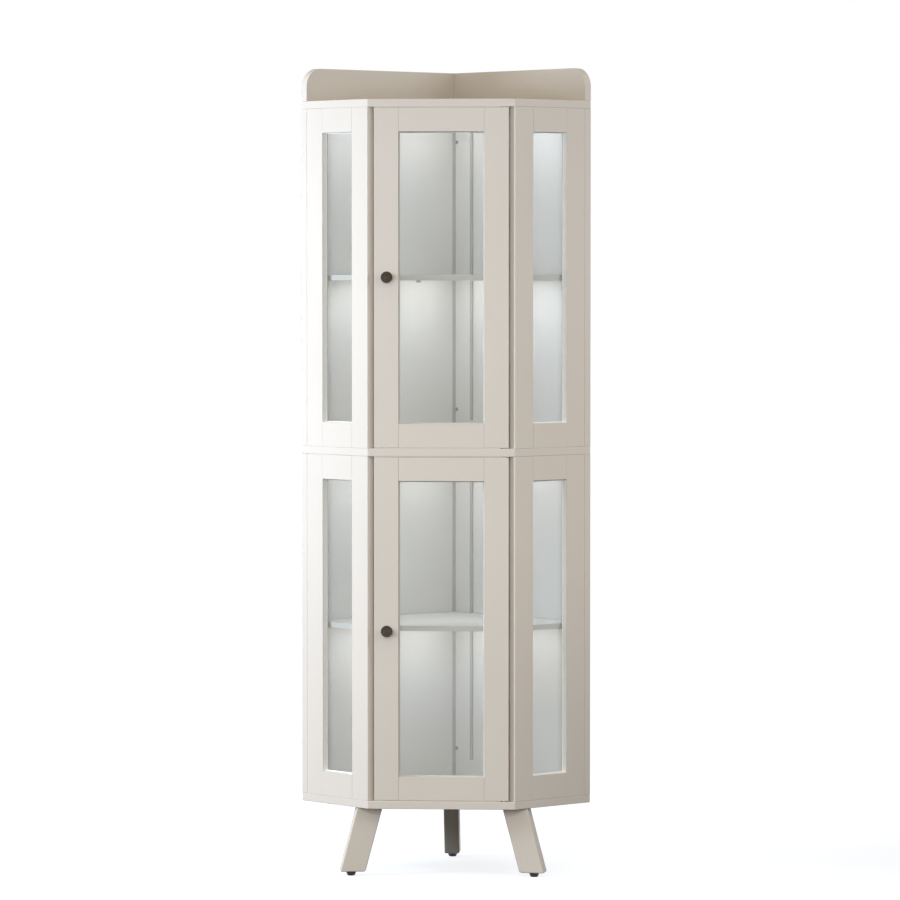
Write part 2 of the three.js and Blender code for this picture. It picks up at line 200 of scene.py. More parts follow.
# Camera, worked out from the board corners, feet and rear corner line in the photograph
camera_aim = Vector((0.01613, -0.19003, 0.80537))
camera_distance = 9
camera_turn = math.radians(3.622)
camera_tilt = math.radians(2.26)
camera_lens = 192.23
camera_sensor = 36
camera_reach = 200

# Lamps: place, aim, width, height, power and colour
studio_lamps = {
    "key": ((-1.83, -0.57, 1.15), (0, -0.05, 0.85), 0.7, 0.55, 41, (0.69, 0.82, 1)),
    "front": ((-0.5, -5, 1.7), (0, 0, 0.8), 2.2, 2.2, 82, (0.85, 0.91, 1)),
    "right": ((1.9, -1.3, 1.4), (0.2, -0.1, 1.1), 0.6, 0.5, 13, (0.67, 0.785, 1)),
}

# Lamps under each light bar: power of the middle one, of each side one and of the soft one
bar_lamps = {
    "lower_ceiling_light_bar": (0.175, 0.075, 0.22),
    "upper_ceiling_light_bar": (0.175, 0.075, 0.22),
    "upper_shelf_light_bar": (0.175, 0.08, 0.18),
    "lower_shelf_light_bar": (0.155, 0.075, 0.16),
}
small_lamp_radius = 10 * mm
middle_lamp_back = 25 * mm
middle_lamp_drop = 12 * mm
middle_lamp_colour = (1, 1, 1)
side_lamp_out = 120 * mm
side_lamp_forward = 95 * mm
side_lamp_drop = 30 * mm
side_lamp_colour = (1, 0.94, 0.86)
soft_lamp_depth = -60 * mm
soft_lamp_drop = 3 * mm
soft_lamp_size = (0.36, 0.12)
soft_lamp_colour = (0.74, 0.85, 1)

# Dark cards, out of sight, that hold back soft light: spans across, in depth and in height
card_thickness = 5 * mm
cards = {
    "card_above": ((-0.45, 0.45), (-0.55, 0.35), (2.0, 2.0 + card_thickness)),
    "card_beside": ((1.0, 1.0 + card_thickness), (-0.9, 0.5), (0.01, 0.6)),
    "card_below": ((-0.11, 0.11), (-0.12, -0.12 + card_thickness), (0.02, 0.12)),
}

# Tones of the world, the floor and the cards
world_soft_colour = (1, 0.88, 0.63, 1)
world_soft_strength = 0.8
world_seen_colour = (1, 1, 1, 1)
world_seen_strength = 1
floor_reach = 60
floor_dark = (0.08, 0.08, 0.08, 1)
floor_pale = (0.26, 0.3, 0.42, 1)
floor_glow = 0.83
card_dark = (0.03, 0.03, 0.03, 1)


# Faces: X across the face, Y into the cabinet, Z up

def face_matrix(origin, across, inward):
    return Matrix((
        (across[0], inward[0], 0, origin[0]),
        (across[1], inward[1], 0, origin[1]),
        (0, 0, 1, 0),
        (0, 0, 0, 1),
    ))


def wall_point(sign, along, inward=0):
    x = sign * (along - inward) * square_half
    return Vector((x, rear_line - (along + inward) * square_half, 0))


def side_face(sign):
    across = (-sign * square_half, -square_half)
    inward = (-sign * square_half, square_half)
    return face_matrix(wall_point(sign, wall_side), across, inward)


def wall_face(sign):
    across = (sign * square_half, -square_half)
    inward = (-sign * square_half, -square_half)
    return face_matrix(wall_point(sign, 0), across, inward)


front_face = face_matrix((0, front_line), (1, 0), (0, 1))
plan = Matrix.Identity(4)


def into(face, across, height, depth=0):
    """Turns an upright piece so that it points into the cabinet from a face."""
    place = face @ Matrix.Translation((across, depth, height))
    return place @ Matrix.Rotation(-math.pi / 2, 4, "X")


def out_of(face, across, height, depth=0):
    """Turns an upright piece so that it stands out of a face."""
    place = face @ Matrix.Translation((across, depth, height))
    return place @ Matrix.Rotation(math.pi / 2, 4, "X")


# Shapes

def block(face, across, depth, height):
    spans = (across, depth, height)
    centre = Vector([(low + high) / 2 for low, high in spans])
    size = [high - low for low, high in spans]
    shape = bmesh.new()
    placing = face @ Matrix.Translation(centre) @ Matrix.Diagonal((*size, 1))
    bmesh.ops.create_cube(shape, size=1, matrix=placing)
    return shape


def drawn_out(outline, vector):
    """A flat outline drawn out into a solid."""
    shape = bmesh.new()
    base = shape.faces.new([shape.verts.new(point) for point in outline])
    drawn = bmesh.ops.extrude_face_region(shape, geom=[base])
    moved = [part for part in drawn["geom"] if isinstance(part, bmesh.types.BMVert)]
    bmesh.ops.translate(shape, verts=moved, vec=vector)
    return shape


def upright_prism(outline, low, high):
    """A plan outline raised from one level to another."""
    return drawn_out([(point[0], point[1], low) for point in outline], (0, 0, high - low))


def turned(profile, steps=turn_steps):
    """Spins pairs of radius and height about the upright axis."""
    shape = bmesh.new()
    points = [shape.verts.new((radius, 0, height)) for radius, height in profile]
    edges = [shape.edges.new(pair) for pair in zip(points, points[1:])]
    bmesh.ops.spin(
        shape, geom=points + edges, cent=(0, 0, 0), axis=(0, 0, 1),
        angle=math.tau, steps=steps, use_merge=True,
    )
    bmesh.ops.remove_doubles(shape, verts=shape.verts, dist=weld)
    return shape


def arc(centre, radius, start, end, steps=8):
    """Pairs of radius and height along a round stretch of a profile, angles in degrees."""
    points = []
    for step in range(steps + 1):
        angle = math.radians(start + (end - start) * step / steps)
        across, up = radius * math.cos(angle), radius * math.sin(angle)
        points.append((centre[0] + across, centre[1] + up))
    return points


def placed(shape, matrix):
    bmesh.ops.transform(shape, matrix=matrix, verts=shape.verts)
    return shape


def bevelled(shape, edges, radius, steps):
    bmesh.ops.bevel(
        shape, geom=edges, offset=radius, offset_type="OFFSET", segments=steps,
        profile=0.5, affect="EDGES", clamp_overlap=True, material=-1,
    )
    return shape


def rounded(shape, radius, steps=round_steps, least=least_edge):
    """Rounds every outer edge that is long enough to take it."""
    bmesh.ops.recalc_face_normals(shape, faces=shape.faces)
    edges = [
        edge for edge in shape.edges
        if edge.is_manifold and edge.is_convex
        and edge.calc_face_angle(0) > crease_angle and edge.calc_length() > least
    ]
    return bevelled(shape, edges, radius, steps)


def thin_rounded(shape, radius):
    """Rounds every outer edge of a thin straight piece, its short ones too."""
    return rounded(shape, radius, steps=thin_round_steps, least=0)


def joined(shapes):
    whole = bmesh.new()
    for shape in shapes:
        part = bpy.data.meshes.new("part")
        shape.to_mesh(part)
        shape.free()
        whole.from_mesh(part)
        bpy.data.meshes.remove(part)
    return whole


def node_shape(node):
    """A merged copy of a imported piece, with its flat faces whole."""
    shape = bmesh.new()
    shape.from_mesh(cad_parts[node].data)
    bmesh.ops.remove_doubles(shape, verts=shape.verts, dist=weld)
    bmesh.ops.dissolve_limit(
        shape, angle_limit=flat_angle, verts=shape.verts, edges=shape.edges,
    )
    return shape


def cut_away(shape, point, outward):
    """Cuts off what lies past a plane and closes the cut."""
    whole = shape.verts[:] + shape.edges[:] + shape.faces[:]
    cut = bmesh.ops.bisect_plane(
        shape, geom=whole, plane_co=point, plane_no=outward, clear_outer=True,
    )
    rim = [part for part in cut["geom_cut"] if isinstance(part, bmesh.types.BMEdge)]
    bmesh.ops.holes_fill(shape, edges=rim, sides=0)
    return shape


def recessed_head(radius, height, recess, arms):
    """A round screw head with a driving recess of six flats or four arms."""
    recess_radius, recess_depth = recess
    brim = min(radius, height) * head_brim_share
    profile = [(0, height - recess_depth)]
    profile.append((recess_radius * recess_floor_share, height - recess_depth))
    profile.append((recess_radius, height))
    profile += arc((radius - brim, height - brim), brim, 90, 0)
    profile += [(radius, 0), (0, 0)]
    shape = turned(profile, head_steps)
    inner, outer = recess_wall_shares
    for vert in shape.verts:
        reach = math.hypot(vert.co.x, vert.co.y)
        if vert.co.z > height / 4 and recess_radius * inner < reach < recess_radius * outer:
            angle = math.atan2(vert.co.y, vert.co.x)
            if arms == six_flats:
                share = square_half / math.cos((angle % (math.pi / 3)) - math.pi / 6)
            else:
                share = recess_waist + (1 - recess_waist) * abs(math.cos(2 * angle)) ** 3
            vert.co.x *= share
            vert.co.y *= share
    return shape


def new_object(name, shape, material):
    mesh = bpy.data.meshes.new(name)
    shape.to_mesh(mesh)
    shape.free()
    mesh.materials.append(material)
    thing = bpy.data.objects.new(name, mesh)
    bpy.context.scene.collection.objects.link(thing)
    return thing


def finish_piece(name, shape, material, body, replaced=()):
    """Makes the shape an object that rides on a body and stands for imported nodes."""
    bmesh.ops.recalc_face_normals(shape, faces=shape.faces)
    for face in shape.faces:
        face.smooth = True
    for edge in shape.edges:
        edge.smooth = edge.calc_face_angle(0) < smooth_limit
    piece = new_object(name, shape, material)
    normals = piece.modifiers.new("even_faces", "WEIGHTED_NORMAL")
    normals.keep_sharp = True
    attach(piece, body)
    if replaced:
        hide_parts(*replaced)


# Finishes

def new_finish(name):
    material = bpy.data.materials.new(name)
    material.use_nodes = True
    nodes = material.node_tree.nodes
    return material, nodes, material.node_tree.links, nodes["Principled BSDF"]


def mixed_shader(nodes, links, factor, first, second, output):
    """Blends two shaders by a factor, as what the material or world shows."""
    mix = nodes.new("ShaderNodeMixShader")
    links.new(factor, mix.inputs["Fac"])
    links.new(first, mix.inputs[1])
    links.new(second, mix.inputs[2])
    links.new(mix.outputs["Shader"], nodes[output].inputs["Surface"])


def object_noise(nodes, links, scale, detail=3, stretch=(1, 1, 1)):
    """Noise on the piece's own coordinates, scale in waves per metre."""
    place = nodes.new("ShaderNodeTexCoord")
    mapping = nodes.new("ShaderNodeMapping")
    mapping.inputs["Scale"].default_value = stretch
    noise = nodes.new("ShaderNodeTexNoise")
    noise.inputs["Scale"].default_value = scale
    noise.inputs["Detail"].default_value = detail
    links.new(place.outputs["Object"], mapping.inputs["Vector"])
    links.new(mapping.outputs["Vector"], noise.inputs["Vector"])
    return noise.outputs["Fac"]


def mixed_colour(nodes, links, factor, first, second):
    mix = nodes.new("ShaderNodeMix")
    mix.data_type = "RGBA"
    mix.inputs["A"].default_value = (*first, 1)
    mix.inputs["B"].default_value = (*second, 1)
    links.new(factor, mix.inputs["Factor"])
    return mix.outputs["Result"]


def ranged(nodes, links, factor, low, high, start=0.3, end=0.7):
    """Spreads the middle of a noise over a wanted range."""
    spread = nodes.new("ShaderNodeMapRange")
    spread.inputs["From Min"].default_value = start
    spread.inputs["From Max"].default_value = end
    spread.inputs["To Min"].default_value = low
    spread.inputs["To Max"].default_value = high
    links.new(factor, spread.inputs["Value"])
    return spread.outputs["Result"]


def bumped(nodes, links, shader, heights):
    """Stacks bumps from pairs of height and depth in metres."""
    below = None
    for height, depth in heights:
        bump = nodes.new("ShaderNodeBump")
        bump.inputs["Strength"].default_value = 1
        bump.inputs["Distance"].default_value = depth
        links.new(height, bump.inputs["Height"])
        if below is not None:
            links.new(below, bump.inputs["Normal"])
        below = bump.outputs["Normal"]
    links.new(below, shader.inputs["Normal"])


def sprayed_paint(name, light, dark, rough_low, rough_high):
    """Satin lacquer: faint clouding, an even orange-peel skin and fine grain."""
    material, nodes, links, shader = new_finish(name)
    cloud = ranged(nodes, links, object_noise(nodes, links, 5, 4), 0, 1)
    links.new(mixed_colour(nodes, links, cloud, dark, light), shader.inputs["Base Color"])
    sheen = object_noise(nodes, links, 40, 5)
    links.new(ranged(nodes, links, sheen, rough_low, rough_high), shader.inputs["Roughness"])
    peel = object_noise(nodes, links, 420, 2)
    grain = object_noise(nodes, links, 2600, 2)
    bumped(nodes, links, shader, [(peel, 0.05 * mm), (grain, 0.012 * mm)])
    return material


def pane_glass():
    """Clear float glass with a trace of green; the lamps' light passes it dimmed by a grey tint,
    painted shade behind the glass.
    """
    material, nodes, links, shader = new_finish("pane_glass")
    shader.inputs["Base Color"].default_value = (0.985, 0.99, 0.985, 1)
    shader.inputs["Roughness"].default_value = 0
    shader.inputs["IOR"].default_value = 1.5
    shader.inputs["Transmission Weight"].default_value = 1
    ripple = object_noise(nodes, links, 6, 1)
    bumped(nodes, links, shader, [(ripple, 0.05 * mm)])
    path = nodes.new("ShaderNodeLightPath")
    clear = nodes.new("ShaderNodeBsdfTransparent")
    # Lamps' light is dimmed to 0.7 at each face of the pane: painted shade behind the glass,
    # deeper than clear glass casts
    clear.inputs["Color"].default_value = (0.7, 0.705, 0.7, 1)
    shadow = path.outputs["Is Shadow Ray"]
    bsdf, painted_shade_pass = shader.outputs["BSDF"], clear.outputs["BSDF"]
    mixed_shader(nodes, links, shadow, bsdf, painted_shade_pass, "Material Output")
    return material


def knob_bronze():
    """Dark antique bronze with a brownish bloom and rubbed lighter places."""
    material, nodes, links, shader = new_finish("knob_bronze")
    bloom = ranged(nodes, links, object_noise(nodes, links, 160, 5), 0, 1)
    tone = mixed_colour(nodes, links, bloom, (0.055, 0.045, 0.033), (0.105, 0.088, 0.064))
    links.new(tone, shader.inputs["Base Color"])
    shader.inputs["Metallic"].default_value = 1
    sheen = object_noise(nodes, links, 500, 4)
    links.new(ranged(nodes, links, sheen, 0.32, 0.5), shader.inputs["Roughness"])
    bumped(nodes, links, shader, [(sheen, 0.02 * mm)])
    return material


def moulded_plastic(name, light, dark, roughness):
    material, nodes, links, shader = new_finish(name)
    cloud = ranged(nodes, links, object_noise(nodes, links, 90, 3), 0, 1)
    links.new(mixed_colour(nodes, links, cloud, dark, light), shader.inputs["Base Color"])
    grain = object_noise(nodes, links, 1800, 2)
    links.new(
        ranged(nodes, links, grain, roughness - 0.06, roughness + 0.06),
        shader.inputs["Roughness"],
    )
    bumped(nodes, links, shader, [(grain, 0.02 * mm)])
    return material


def pin_steel():
    """Zinc-plated steel with fine drawing lines."""
    material, nodes, links, shader = new_finish("pin_steel")
    lines = object_noise(nodes, links, 900, 3, stretch=(1, 1, 0.08))
    tone = mixed_colour(nodes, links, lines, (0.42, 0.42, 0.41), (0.6, 0.6, 0.59))
    links.new(tone, shader.inputs["Base Color"])
    shader.inputs["Metallic"].default_value = 1
    links.new(ranged(nodes, links, lines, 0.26, 0.42), shader.inputs["Roughness"])
    bumped(nodes, links, shader, [(lines, 0.01 * mm)])
    return material


def light_diffuser():
    """Milky lens with an even, soft glow."""
    material, nodes, links, shader = new_finish("light_diffuser")
    milk = ranged(nodes, links, object_noise(nodes, links, 120, 2), 0, 1)
    tone = mixed_colour(nodes, links, milk, (0.86, 0.87, 0.86), (0.93, 0.94, 0.93))
    links.new(tone, shader.inputs["Base Color"])
    shader.inputs["Roughness"].default_value = 0.45
    shader.inputs["Emission Color"].default_value = (0.95, 0.97, 1, 1)
    shader.inputs["Emission Strength"].default_value = 0.8
    return material


cabinet_paint = sprayed_paint(
    "cabinet_paint", (0.665, 0.61, 0.556), (0.645, 0.59, 0.536), 0.4, 0.5,
)
inner_paint = sprayed_paint(
    "inner_paint", (0.76, 0.765, 0.745), (0.74, 0.745, 0.725), 0.36, 0.46,
)
# The inner paint made lighter for the shelves and their edge bands: painted light on the shelves'
# lit tops
shelf_paint_painted_light = sprayed_paint(
    "shelf_paint_painted_light", (0.86, 0.865, 0.84), (0.84, 0.845, 0.82), 0.4, 0.5,
)
glass = pane_glass()
bronze = knob_bronze()
glide_black = moulded_plastic("glide_plastic", (0.012, 0.012, 0.012), (0.005, 0.005, 0.005), 0.5)
nylon = moulded_plastic("white_plastic", (0.8, 0.79, 0.76), (0.76, 0.75, 0.72), 0.45)
channel_grey = moulded_plastic("channel_plastic", (0.47, 0.47, 0.46), (0.43, 0.43, 0.42), 0.45)
# Grey for the rear corner bead: painted shade along the corner
corner_painted_shade = moulded_plastic("corner_bead", (0.44, 0.44, 0.43), (0.4, 0.4, 0.39), 0.6)
sealant = moulded_plastic("glazing_sealant", (0.6, 0.58, 0.55), (0.56, 0.54, 0.51), 0.6)
# Near-white sealant for the side reveals: painted light, paler than the paint so the shaded
# reveals read bright
reveal_lining_painted_light = moulded_plastic("reveal_lining_painted_light", (0.9, 0.91, 0.91), (0.87, 0.88, 0.88), 0.6)
screw_grey = moulded_plastic("grey_screw", (0.3, 0.3, 0.29), (0.25, 0.25, 0.24), 0.5)
# Felt paler than the cabinet paint: painted light that lifts the shade in the gaps over and under
# the doors
gap_fill_painted_light = moulded_plastic("pale_felt_painted_light", (0.75, 0.7, 0.65), (0.71, 0.66, 0.61), 0.9)
seal_grey = moulded_plastic("grey_seal", (0.56, 0.54, 0.52), (0.52, 0.5, 0.48), 0.7)
steel = pin_steel()
diffuser = light_diffuser()


# Boards and gallery

def make_board(name):
    low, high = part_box(name)
    outline = [
        wall_point(-1, 0),
        wall_point(-1, wall_side),
        wall_point(-1, wall_side, side_depth),
        wall_point(1, wall_side, side_depth),
        wall_point(1, wall_side),
    ]
    shape = rounded(upright_prism(outline, low.z, high.z), board_round)
    finish_piece(f"{name}_panel", shape, cabinet_paint, "carcass", [name])


def make_gallery():
    for name in sides:
        node = f"{name}_gallery_rail"
        shape = rounded(node_shape(node), gallery_round, least=gallery_least_edge)
        finish_piece(f"{node}_moulding", shape, cabinet_paint, "carcass", [node])


# Back panels and shelves

def round_corner_edge(shape, face):
    """Rounds the upright edge of a panel that meets the other panel in the rear corner."""
    bmesh.ops.recalc_face_normals(shape, faces=shape.faces)
    turn_back = face.inverted()
    edges = []
    for edge in shape.edges:
        ends = [turn_back @ vert.co for vert in edge.verts]
        if all(end.x < frame_foot + weld and end.y > panel_thickness - weld for end in ends):
            edges.append(edge)
    bevelled(shape, edges, corner_valley_round, corner_valley_steps)


def make_back_panels():
    for bay in bays:
        height = (bay_floor[bay], bay_ceiling[bay])
        for name, sign in sides.items():
            node = f"{bay}_{name}_back_panel"
            face = wall_face(sign)
            outward = face.to_3x3() @ Vector((1, 0, 0))
            edging_start = wall_side - edging_thickness
            shape = cut_away(node_shape(node), face @ Vector((edging_start, 0, 0)), outward)
            if sign > 0:
                round_corner_edge(shape, face)
            rounded(shape, panel_round)
            finish_piece(f"{node}_board", shape, inner_paint, "carcass", [node])
            edging = block(face, (edging_start, wall_side), (0, panel_thickness), height)
            thin_rounded(edging, edging_thickness / 3)
            finish_piece(f"{node}_edging", edging, cabinet_paint, "carcass")


def make_shelves():
    """Each shelf has an edge band along its front and its two glazed sides."""
    band_depth = panel_thickness + shelf_side_gap + edging_thickness
    for bay in bays:
        node = f"{bay}_shelf"
        front_edge = Vector((0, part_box(node)[0].y + edging_thickness, 0))
        outward = Vector((0, -1, 0))
        board = cut_away(node_shape(node), front_edge, outward)
        bands = [cut_away(node_shape(node), front_edge, -outward)]
        for sign in sides.values():
            face = side_face(sign)
            side_edge = face @ Vector((0, band_depth, 0))
            side_outward = face.to_3x3() @ Vector((0, -1, 0))
            cut_away(board, side_edge, side_outward)
            band = cut_away(node_shape(node), front_edge, outward)
            bands.append(cut_away(band, side_edge, -side_outward))
        rounded(board, edging_thickness / 3)
        finish_piece(f"{node}_board", board, shelf_paint_painted_light, "carcass", [node])
        edges = joined([rounded(band, edging_thickness / 3) for band in bands])
        finish_piece(f"{node}_edge_bands", edges, shelf_paint_painted_light, "carcass")


# Glazed frames: two stiles with the rails set between them

def frame_bars(node, face, window):
    """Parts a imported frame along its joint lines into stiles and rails."""
    across = face.to_3x3() @ Vector((1, 0, 0))
    bars = []
    left_edge = face @ Vector((window[0] - joint_half_gap, 0, 0))
    right_edge = face @ Vector((window[1] + joint_half_gap, 0, 0))
    bars.append(cut_away(node_shape(node), left_edge, across))
    bars.append(cut_away(node_shape(node), right_edge, -across))
    rail_start = face @ Vector((window[0] + joint_half_gap, 0, 0))
    rail_end = face @ Vector((window[1] - joint_half_gap, 0, 0))
    rails = cut_away(node_shape(node), rail_start, -across)
    bars.append(cut_away(rails, rail_end, across))
    return joined([rounded(bar, frame_round) for bar in bars])


def glazing_strips(face, window, height):
    """Flat strips that hold the pane, mitreless: the long ones run past the short ones."""
    depth = (panel_thickness, panel_thickness + strip_thickness)
    left, right = window
    low, high = height
    strips = [
        block(face, (left - strip_width, left), depth, (low - strip_width, high + strip_width)),
        block(face, (right, right + strip_width), depth, (low - strip_width, high + strip_width)),
        block(face, (left, right), depth, (low - strip_width, low)),
        block(face, (left, right), depth, (high, high + strip_width)),
    ]
    return joined([thin_rounded(strip, strip_thickness / 3) for strip in strips])


def glazing_bead(face, window, height, pane_depth, top):
    """A hollow bead of sealant in the angle between the window's reveal and the pane."""
    section = (
        (0, 0),
        (0, top),
        (glazing_bead_width / 3, glazing_bead_height / 3),
        (glazing_bead_width, 0),
    )
    gap = glazing_bead_clearance
    shape = bmesh.new()
    rings = []
    for right, up in ((0, 0), (1, 0), (1, 1), (0, 1)):
        inward, upward = 1 - 2 * right, 1 - 2 * up
        ring = []
        for reach, rise in section:
            across = window[right] + inward * (gap + reach)
            level = height[up] + upward * (gap + reach)
            ring.append(shape.verts.new(face @ Vector((across, pane_depth - gap - rise, level))))
        rings.append(ring)
    for ring, following in zip(rings, rings[1:] + rings[:1]):
        for start in range(len(section)):
            end = (start + 1) % len(section)
            shape.faces.new((ring[start], ring[end], following[end], following[start]))
    return shape


def strip_pins(face, window, height):
    """Small round pin heads along the long strips."""
    low, high = height
    dome = [(strip_pin_radius * r, strip_pin_height * h) for r, h in arc((0, 0), 1, 90, 0, 5)]
    profile = [(0, strip_pin_height), *dome[1:], (0, 0)]
    depth = panel_thickness + strip_thickness
    pins = []
    for edge in (window[0] - strip_width / 2, window[1] + strip_width / 2):
        for share in strip_pin_share:
            level = low + (high - low) * share
            pins.append(placed(turned(profile, pin_steps), into(face, edge, level, depth)))
    return joined(pins)


def make_glazed_frame(tag, face, window, height, body):
    node = f"{tag}_frame"
    bars = frame_bars(node, face, window)
    finish_piece(f"{node}_bars", bars, cabinet_paint, body, [node])
    strips = glazing_strips(face, window, height)
    finish_piece(f"{tag}_glazing_strips", strips, nylon, body)
    pins = strip_pins(face, window, height)
    finish_piece(f"{tag}_strip_pins", pins, steel, body)


def make_frames():
    side_window = (frame_foot + frame_bar_width, side_depth - frame_bar_width)
    for bay in bays:
        glass_low, glass_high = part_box(f"{bay}_door_glass")
        height = (glass_low.z + glass_lap, glass_high.z - glass_lap)
        door_window = (glass_low.x + glass_lap, glass_high.x - glass_lap)
        depth = glass_low.y - door_low.y
        door = f"{bay}_door"
        make_glazed_frame(door, front_face, door_window, height, door)
        bead = glazing_bead(front_face, door_window, height, depth, glazing_bead_height)
        finish_piece(f"{door}_glazing_bead", bead, sealant, door)
        for name, sign in sides.items():
            tag = f"{bay}_{name}_side"
            face = side_face(sign)
            make_glazed_frame(tag, face, side_window, height, "carcass")
            # At the sides the bead lines nearly the whole reveal in near-white sealant: painted
            # light over its shade
            bead = glazing_bead(face, side_window, height, depth, depth - side_bead_inset)
            finish_piece(f"{tag}_glazing_bead", bead, reveal_lining_painted_light, "carcass")


def dress_panes():
    """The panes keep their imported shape."""
    for name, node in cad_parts.items():
        if name.endswith("_glass"):
            node.data.materials.clear()
            node.data.materials.append(glass)


# Dust strips on the carcass

def make_dust_strips():
    for bay in bays:
        height = (bay_floor[bay], bay_ceiling[bay])
        floor, ceiling = height
        low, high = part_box(f"{bay}_door_frame")
        pivot_low, pivot_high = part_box(f"{bay}_bottom_pivot_pin")
        across = (low.x, (pivot_low.x + pivot_high.x) / 2 - dust_strip_from_pivot)
        # Pale strips just behind the gaps over and under the door: painted light filling the
        # gaps' shade
        pale = [
            block(front_face, across, dust_strip_depth, (floor, floor + dust_strip_height)),
            block(front_face, across, dust_strip_depth, (ceiling - dust_strip_height, ceiling)),
        ]
        strips = joined([thin_rounded(strip, dust_strip_round) for strip in pale])
        finish_piece(f"{bay}_door_dust_strips", strips, gap_fill_painted_light, "carcass")
        inner, outer = latch_strip_across
        latch = block(front_face, (low.x - outer, low.x + inner), latch_strip_depth, height)
        outer, inner = hinge_strip_across
        hinge = block(front_face, (high.x - outer, high.x + inner), hinge_strip_depth, height)
        strips = joined([thin_rounded(strip, dust_strip_round) for strip in (latch, hinge)])
        finish_piece(f"{bay}_door_side_seals", strips, seal_grey, "carcass")


# Knobs, with their screws behind the door

def knob_profile(length):
    crown_base = length - knob_crown
    neck_top = crown_base - 2 * knob_edge_round
    foot = (knob_foot_radius - knob_foot_round, knob_foot_height - knob_foot_round)
    waist = (knob_waist_radius + knob_waist_fillet, knob_foot_height + knob_waist_fillet)
    neck = (knob_waist_radius + knob_neck_fillet, neck_top - knob_neck_drop)
    edge = (knob_radius - knob_edge_round, crown_base - knob_edge_round)
    profile = [(0, 0), (knob_foot_radius, 0)]
    profile += arc(foot, knob_foot_round, 0, 90, 4)
    profile += arc(waist, knob_waist_fillet, 270, 180, 6)
    profile += arc(neck, knob_neck_fillet, 180, 110, 8)
    profile += arc(edge, knob_edge_round, -70, 62, 12)
    for share in knob_crown_outer:
        reach = knob_radius * share * knob_crown_rim
        profile.append((reach, length - knob_crown * (reach / knob_radius) ** 2))
    groove = length - knob_crown * (knob_ring_radius / knob_radius) ** 2
    profile += [
        (knob_ring_radius + knob_ring_depth, groove),
        (knob_ring_radius, groove - knob_ring_depth),
        (knob_ring_radius - knob_ring_depth, groove + knob_ring_depth / 2),
    ]
    for share in knob_crown_inner:
        profile.append((knob_radius * share, length - knob_crown * share ** 2))
    profile.append((0, length))
    return profile


def make_knobs():
    for bay in bays:
        node = f"{bay}_knob"
        low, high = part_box(node)
        across = (low.x + high.x) / 2
        level = (low.z + high.z) / 2
        seat = high.y - front_line
        knob = turned(knob_profile(high.y - low.y))
        placed(knob, out_of(front_face, across, level, seat))
        finish_piece(f"{node}_turning", knob, bronze, f"{bay}_door", [node])
        screw = recessed_head(knob_screw_radius, knob_screw_height, knob_screw_recess, cross_arms)
        placed(screw, into(front_face, across, level, panel_thickness))
        finish_piece(f"{bay}_knob_screw", screw, steel, f"{bay}_door")


# Legs, glides and leg bolts

def make_leg(name):
    node = f"{name}_leg"
    low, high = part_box(node)
    glide_low, glide_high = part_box(f"{name}_glide")
    bolt_low, bolt_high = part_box(f"{name}_leg_bolt")
    foot = (glide_low + glide_high) / 2
    root = (bolt_low + bolt_high) / 2
    lean = Vector((foot.x - root.x, foot.y - root.y, 0))
    reach = lean.length - glide_outset
    lean.normalize()
    side_view = face_matrix((root.x, root.y), lean, (-lean.y, lean.x))
    half_thick = leg_thickness / 2
    outline = [
        (-leg_top_width / 2, high.z),
        (reach - leg_foot_width / 2, low.z),
        (reach + leg_foot_width / 2, low.z),
        (leg_top_width / 2, high.z),
    ]
    near_side = [(x, -half_thick, z) for x, z in outline]
    shape = drawn_out(near_side, (0, leg_thickness, 0))
    toes = [
        edge for edge in shape.edges
        if all(abs(vert.co.z - low.z) < weld for vert in edge.verts)
        and abs(edge.verts[0].co.y - edge.verts[1].co.y) > half_thick
    ]
    bmesh.ops.recalc_face_normals(shape, faces=shape.faces)
    bevelled(shape, toes, leg_toe_round, leg_toe_steps)
    rounded(shape, leg_round, least=0)
    placed(shape, side_view)
    finish_piece(f"{node}_post", shape, cabinet_paint, "carcass", [node])


def make_glide(name):
    node = f"{name}_glide"
    low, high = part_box(node)
    leg_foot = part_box(f"{name}_leg")[0].z
    centre = Matrix.Translation(((low.x + high.x) / 2, (low.y + high.y) / 2, 0))
    foot = (glide_foot_radius - glide_foot_round, glide_foot_round)
    lip = (glide_radius - glide_lip / 2, leg_foot - glide_lip)
    profile = [(0, 0)]
    profile += arc(foot, glide_foot_round, 270, 345, 5)
    profile.append((glide_radius - glide_taper, leg_foot - 2 * glide_lip))
    profile += arc(lip, glide_lip / 2, -60, 90, 6)
    profile += [
        (glide_radius - glide_lip, leg_foot - glide_lip / 4),
        (glide_stem_radius, leg_foot - glide_lip / 4),
        (glide_stem_radius, high.z),
        (0, high.z),
    ]
    shape = placed(turned(profile, glide_steps), centre)
    finish_piece(f"{node}_foot", shape, glide_black, "carcass", [node])


def make_leg_bolt(name):
    node = f"{name}_leg_bolt"
    low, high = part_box(node)
    board_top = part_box("bottom_board")[1].z
    centre = Matrix.Translation(((low.x + high.x) / 2, (low.y + high.y) / 2, board_top))
    radius, height = (high.x - low.x) / 2, high.z - board_top
    head = recessed_head(radius, height, leg_bolt_recess, six_flats)
    tip = low.z - board_top
    shank_profile = [(0, tip), (leg_bolt_shank_radius, tip), (leg_bolt_shank_radius, 0), (0, 0)]
    shank = turned(shank_profile, leg_bolt_shank_steps)
    placed(shank, Matrix.Translation((0, 0, -leg_bolt_gap)))
    shape = placed(joined([head, shank]), centre)
    finish_piece(f"{node}_screw", shape, steel, "carcass", [node])


# Hinge pins, bushings, shelf pins

def copy_turning(node, name, material, body):
    """Keeps a small turned piece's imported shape."""
    shape = node_shape(node)
    finish_piece(name, shape, material, body, [node])


